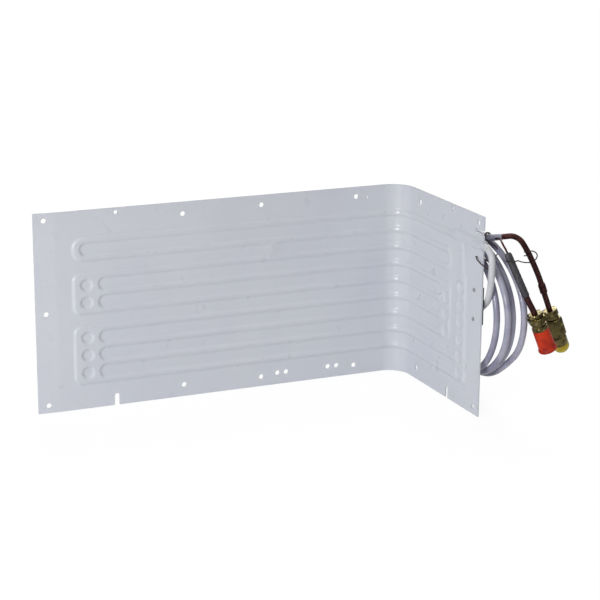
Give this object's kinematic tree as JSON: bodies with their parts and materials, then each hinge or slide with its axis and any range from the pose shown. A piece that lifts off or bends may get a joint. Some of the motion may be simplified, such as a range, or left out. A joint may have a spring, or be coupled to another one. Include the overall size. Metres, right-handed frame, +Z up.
{
  "type": "plate evaporator",
  "caption": "L-shaped roll-bond evaporator panel with raised channels, a coiled sleeved line behind it and self-sealing couplings under dust caps.",
  "frame": {"origin": "outer corner of the L at its lower edge, where the backs of the two sides would meet", "axes": "+X along the long side towards the bend, +Y out of the long side's flat back, +Z up"},
  "size_m": [0.4932, 0.2176, 0.2],
  "materials": {
    "panel_white": "glossy cool white powder coat",
    "stub_white": "white paint",
    "clip_black": "moulded, satin",
    "black_sleeve": "shrunk-on sleeve, satin",
    "pale_sleeve": "smooth pale lavender-grey sleeve",
    "copper": "drawn copper, darkened with handling",
    "tie_wire": "dark annealed wire",
    "brass": "turned, tarnished",
    "spring_steel": "bright wire",
    "seal_rubber": "moulded",
    "cap_red": "moulded, satin",
    "plug_yellow": "moulded, satin"
  },
  "bodies": {
    "panel": {"evaporator_plate": "panel_white", "suction_stub": "stub_white", "sensor_clip": "clip_black", "joint_sleeve": "black_sleeve", "line_coil": "pale_sleeve", "suction_tail": "copper", "suction_spigot": "copper", "capillary": "copper", "strainer_sleeve": "black_sleeve", "liquid_tail": "copper", "plate_tie": "tie_wire", "bundle_tie": "tie_wire", "tail_tie": "tie_wire", "male_adapter": "brass", "male_body": "brass", "male_spring": "spring_steel", "male_cap": "cap_red", "female_adapter": "brass", "female_body": "brass", "nut_ring": "spring_steel", "female_spring": "spring_steel"},
    "liquid_poppet": {"male_poppet": "brass", "male_seal": "seal_rubber"},
    "suction_poppet": {"female_poppet": "brass", "female_seal": "seal_rubber"},
    "nut": {"union_nut": "brass", "female_plug": "plug_yellow"}
  },
  "joints": [
    {"name": "nut_swivel", "type": "hinge", "parent": "panel", "child": "nut", "pos_m": [0.08366, -0.17, 0.0808], "axis": [0.368, 0, -0.9298], "continuous": true},
    {"name": "liquid_poppet_slide", "type": "slide", "parent": "panel", "child": "liquid_poppet", "axis": [0.4065, 0, -0.9137], "range_m": [-0.003, 0], "stiffness_N_per_m": 1500, "springref_m": 0.003, "deforming": ["male_spring"]},
    {"name": "suction_poppet_slide", "type": "slide", "parent": "panel", "child": "suction_poppet", "axis": [0.368, 0, -0.9298], "range_m": [-0.003, 0], "stiffness_N_per_m": 1500, "springref_m": 0.003, "deforming": ["female_spring"]}
  ]
}
